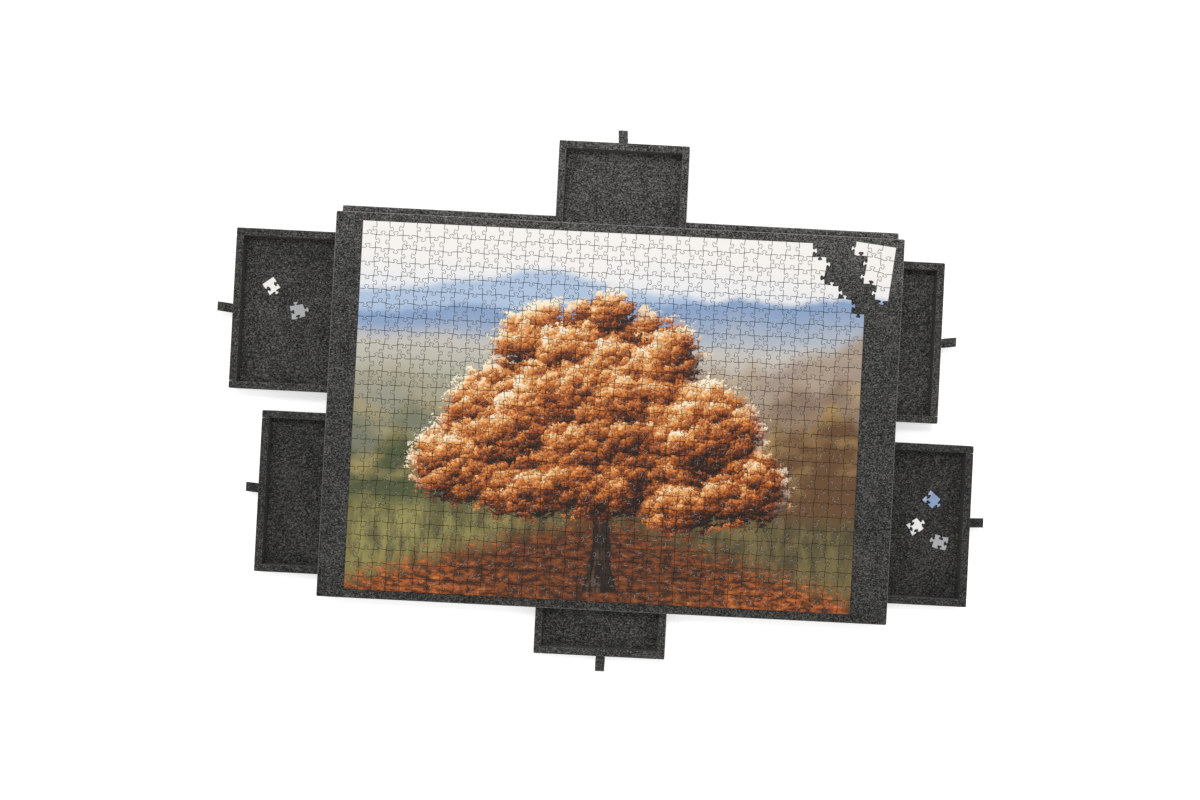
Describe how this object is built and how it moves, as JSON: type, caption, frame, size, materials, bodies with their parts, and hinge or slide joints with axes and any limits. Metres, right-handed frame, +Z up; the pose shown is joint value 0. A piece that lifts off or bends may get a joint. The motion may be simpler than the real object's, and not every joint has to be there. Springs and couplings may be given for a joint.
{
  "type": "jigsaw board with drawers",
  "caption": "Flat jigsaw board covered in dark grey felt, with felt-lined sorting drawers that slide out of all four sides by short tabs, and a part-finished jigsaw on top.",
  "frame": {"origin": "on the underside of the base, below the centre of the work surface", "axes": "+X along the board to its right, +Y to its rear, +Z up"},
  "size_m": [1.067, 0.7445, 0.0495],
  "materials": {
    "felt": "charcoal heather felt, matt, with paler fibres",
    "felt_over_board": "the same felt wrapped over a fibreboard core, with soft edges",
    "fibreboard": "raw medium-density fibreboard",
    "picture_card": "printed jigsaw card with a satin linen face and grey cut edges"
  },
  "bodies": {
    "casing": {"base_board": "fibreboard", "base_felt": "felt", "centre_stop": "fibreboard", "front_left_rail": "felt_over_board", "front_right_rail": "felt_over_board", "jigsaw_corner_part": "picture_card", "jigsaw_laid_part": "picture_card", "left_divider": "felt_over_board", "left_guide": "fibreboard", "rear_left_rail": "felt_over_board", "rear_right_rail": "felt_over_board", "right_divider": "felt_over_board", "right_guide": "fibreboard", "top_board": "fibreboard", "top_felt": "felt"},
    "rear_left_drawer": {"rear_left_drawer_back_wall": "felt_over_board", "rear_left_drawer_floor": "fibreboard", "rear_left_drawer_front_wall": "felt_over_board", "rear_left_drawer_left_wall": "felt_over_board", "rear_left_drawer_lining": "felt", "rear_left_drawer_loose_pieces": "picture_card", "rear_left_drawer_right_wall": "felt_over_board", "rear_left_drawer_tab": "felt"},
    "front_left_drawer": {"front_left_drawer_back_wall": "felt_over_board", "front_left_drawer_floor": "fibreboard", "front_left_drawer_front_wall": "felt_over_board", "front_left_drawer_left_wall": "felt_over_board", "front_left_drawer_lining": "felt", "front_left_drawer_right_wall": "felt_over_board", "front_left_drawer_tab": "felt"},
    "rear_right_drawer": {"rear_right_drawer_back_wall": "felt_over_board", "rear_right_drawer_floor": "fibreboard", "rear_right_drawer_front_wall": "felt_over_board", "rear_right_drawer_left_wall": "felt_over_board", "rear_right_drawer_lining": "felt", "rear_right_drawer_right_wall": "felt_over_board", "rear_right_drawer_tab": "felt"},
    "front_right_drawer": {"front_right_drawer_back_wall": "felt_over_board", "front_right_drawer_floor": "fibreboard", "front_right_drawer_front_wall": "felt_over_board", "front_right_drawer_left_wall": "felt_over_board", "front_right_drawer_lining": "felt", "front_right_drawer_loose_pieces": "picture_card", "front_right_drawer_right_wall": "felt_over_board", "front_right_drawer_tab": "felt"},
    "back_drawer": {"back_drawer_back_wall": "felt_over_board", "back_drawer_floor": "fibreboard", "back_drawer_front_wall": "felt_over_board", "back_drawer_left_wall": "felt_over_board", "back_drawer_lining": "felt", "back_drawer_right_wall": "felt_over_board", "back_drawer_tab": "felt"},
    "front_drawer": {"front_drawer_back_wall": "felt_over_board", "front_drawer_floor": "fibreboard", "front_drawer_front_wall": "felt_over_board", "front_drawer_left_wall": "felt_over_board", "front_drawer_lining": "felt", "front_drawer_right_wall": "felt_over_board", "front_drawer_tab": "felt"}
  },
  "joints": [
    {"name": "rear_left_drawer_slide", "type": "slide", "parent": "casing", "child": "rear_left_drawer", "axis": [-1, 0, 0], "range_m": [-0.138, 0.0635]},
    {"name": "front_left_drawer_slide", "type": "slide", "parent": "casing", "child": "front_left_drawer", "axis": [-1, 0, 0], "range_m": [-0.09, 0.1115]},
    {"name": "rear_right_drawer_slide", "type": "slide", "parent": "casing", "child": "rear_right_drawer", "axis": [1, 0, 0], "range_m": [-0.06, 0.1415]},
    {"name": "front_right_drawer_slide", "type": "slide", "parent": "casing", "child": "front_right_drawer", "axis": [1, 0, 0], "range_m": [-0.111, 0.0905]},
    {"name": "back_drawer_slide", "type": "slide", "parent": "casing", "child": "back_drawer", "axis": [0, 1, 0], "range_m": [-0.1145, 0.0615]},
    {"name": "front_drawer_slide", "type": "slide", "parent": "casing", "child": "front_drawer", "axis": [0, -1, 0], "range_m": [-0.0645, 0.1115]}
  ]
}
